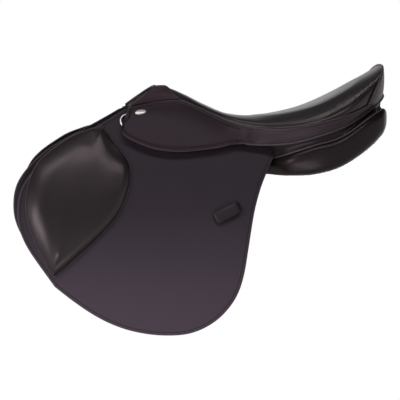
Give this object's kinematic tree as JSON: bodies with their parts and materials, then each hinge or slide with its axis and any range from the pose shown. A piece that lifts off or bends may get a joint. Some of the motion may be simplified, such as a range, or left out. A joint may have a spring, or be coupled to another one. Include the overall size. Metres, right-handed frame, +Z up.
{
  "type": "jumping saddle",
  "caption": "Jumping saddle with a deep seat, forward-cut flaps with knee pads, skirts over stirrup bars, flocked panels and girth straps, built on a spring tree.",
  "frame": {"origin": "on the centre line over the horse's spine, between the two panels and level with their cushions", "axes": "+X to the rear of the saddle, +Y to the off side (right), +Z up"},
  "size_m": [0.6628, 0.3628, 0.462],
  "materials": {
    "seat_leather": "soft smooth leather",
    "flap_leather": "grained leather",
    "pad_leather": "padded smooth leather",
    "panel_leather": "soft leather",
    "strap_leather": "waxed strap leather",
    "steel": "polished",
    "wood": "laminated beech",
    "webbing": "woven",
    "foam": "open cell",
    "flock": "wool flock"
  },
  "bodies": {
    "saddle": {"tree": "wood", "gullet_plate": "steel", "tree_spring_left": "steel", "tree_spring_right": "steel", "seat_webbing": "webbing", "seat_foam": "foam", "seat_cover": "seat_leather", "pommel_facing": "flap_leather", "cantle_band": "flap_leather", "skirt_top_left": "flap_leather", "skirt_top_right": "flap_leather", "stirrup_bar_left": "steel", "stirrup_bar_right": "steel", "bar_rivets": "steel", "catch_pins": "steel", "flap_top_left": "flap_leather", "flap_top_right": "flap_leather", "sweat_flap_top_left": "panel_leather", "sweat_flap_top_right": "panel_leather", "point_pocket_left": "panel_leather", "point_pocket_right": "panel_leather", "panel_left": "panel_leather", "panel_right": "panel_leather", "panel_flock_left": "flock", "panel_flock_right": "flock", "panel_gusset_left": "panel_leather", "panel_gusset_right": "panel_leather", "panel_bridge_front": "panel_leather", "panel_bridge_rear": "panel_leather", "girth_webs_left": "webbing", "girth_webs_right": "webbing", "dee_chape_left": "strap_leather", "dee_chape_right": "strap_leather", "saddle_nails": "steel"},
    "sweat_flap_left": {"sweat_flap_left": "panel_leather", "front_block_left": "panel_leather", "rear_block_left": "panel_leather"},
    "flap_left": {"flap_left": "flap_leather", "knee_pad_left": "pad_leather", "keeper_left": "strap_leather"},
    "skirt_left": {"skirt_left": "flap_leather"},
    "catch_left": {"catch_left": "steel"},
    "dee_left": {"dee_left": "steel"},
    "billet_front_left": {"billet_front_left": "strap_leather"},
    "billet_middle_left": {"billet_middle_left": "strap_leather"},
    "billet_rear_left": {"billet_rear_left": "strap_leather"},
    "sweat_flap_right": {"sweat_flap_right": "panel_leather", "front_block_right": "panel_leather", "rear_block_right": "panel_leather"},
    "flap_right": {"flap_right": "flap_leather", "knee_pad_right": "pad_leather", "keeper_right": "strap_leather"},
    "skirt_right": {"skirt_right": "flap_leather"},
    "catch_right": {"catch_right": "steel"},
    "dee_right": {"dee_right": "steel"},
    "billet_front_right": {"billet_front_right": "strap_leather"},
    "billet_middle_right": {"billet_middle_right": "strap_leather"},
    "billet_rear_right": {"billet_rear_right": "strap_leather"}
  },
  "joints": [
    {"name": "sweat_flap_lift_left", "type": "hinge", "parent": "saddle", "child": "sweat_flap_left", "pos_m": [-0.01045, -0.09945, 0.022], "axis": [-0.956, 0.1005, 0.2756], "range_deg": [0, 15]},
    {"name": "sweat_flap_lift_right", "type": "hinge", "parent": "saddle", "child": "sweat_flap_right", "pos_m": [-0.01045, 0.09945, 0.022], "axis": [0.956, 0.1005, -0.2756], "range_deg": [0, 15]},
    {"name": "flap_lift_left", "type": "hinge", "parent": "sweat_flap_left", "child": "flap_left", "pos_m": [-0.01045, -0.09945, 0.022], "axis": [-0.956, 0.1005, 0.2756], "range_deg": [0, 75]},
    {"name": "flap_lift_right", "type": "hinge", "parent": "sweat_flap_right", "child": "flap_right", "pos_m": [-0.01045, 0.09945, 0.022], "axis": [0.956, 0.1005, -0.2756], "range_deg": [0, 75]},
    {"name": "skirt_lift_left", "type": "hinge", "parent": "saddle", "child": "skirt_left", "pos_m": [0.00327, -0.09551, 0.06814], "axis": [-0.956, 0.1005, 0.2756], "range_deg": [0, 60]},
    {"name": "skirt_lift_right", "type": "hinge", "parent": "saddle", "child": "skirt_right", "pos_m": [0.00327, 0.09551, 0.06814], "axis": [0.956, 0.1005, -0.2756], "range_deg": [0, 60]},
    {"name": "catch_turn_left", "type": "hinge", "parent": "saddle", "child": "catch_left", "pos_m": [-0.00488, -0.08636, 0.07283], "axis": [0.0284, -0.9034, 0.4278], "range_deg": [0, 50]},
    {"name": "catch_turn_right", "type": "hinge", "parent": "saddle", "child": "catch_right", "pos_m": [-0.00488, 0.08636, 0.07283], "axis": [-0.0284, -0.9034, -0.4278], "range_deg": [0, 50]},
    {"name": "dee_swing_left", "type": "hinge", "parent": "saddle", "child": "dee_left", "pos_m": [-0.13691, -0.07205, 0.09946], "axis": [0.2922, 0.4096, 0.8642], "range_deg": [0, 25]},
    {"name": "dee_swing_right", "type": "hinge", "parent": "saddle", "child": "dee_right", "pos_m": [-0.13691, 0.07205, 0.09946], "axis": [-0.2922, 0.4096, -0.8642], "range_deg": [0, 25]},
    {"name": "billet_front_swing_left", "type": "hinge", "parent": "sweat_flap_left", "child": "billet_front_left", "pos_m": [-0.09538, -0.08788, 0.03159], "axis": [-0.0138, -0.9539, 0.2998], "range_deg": [-4, 4]},
    {"name": "billet_front_swing_right", "type": "hinge", "parent": "sweat_flap_right", "child": "billet_front_right", "pos_m": [-0.09538, 0.08788, 0.03159], "axis": [0.0138, -0.9539, -0.2998], "range_deg": [-4, 4]},
    {"name": "billet_middle_swing_left", "type": "hinge", "parent": "sweat_flap_left", "child": "billet_middle_left", "pos_m": [-0.04759, -0.0929, 0.01781], "axis": [-0.0138, -0.9539, 0.2998], "range_deg": [-4, 4]},
    {"name": "billet_middle_swing_right", "type": "hinge", "parent": "sweat_flap_right", "child": "billet_middle_right", "pos_m": [-0.04759, 0.0929, 0.01781], "axis": [0.0138, -0.9539, -0.2998], "range_deg": [-4, 4]},
    {"name": "billet_rear_swing_left", "type": "hinge", "parent": "sweat_flap_left", "child": "billet_rear_left", "pos_m": [0.00021, -0.09792, 0.00402], "axis": [-0.0138, -0.9539, 0.2998], "range_deg": [-4, 4]},
    {"name": "billet_rear_swing_right", "type": "hinge", "parent": "sweat_flap_right", "child": "billet_rear_right", "pos_m": [0.00021, 0.09792, 0.00402], "axis": [0.0138, -0.9539, -0.2998], "range_deg": [-4, 4]}
  ]
}
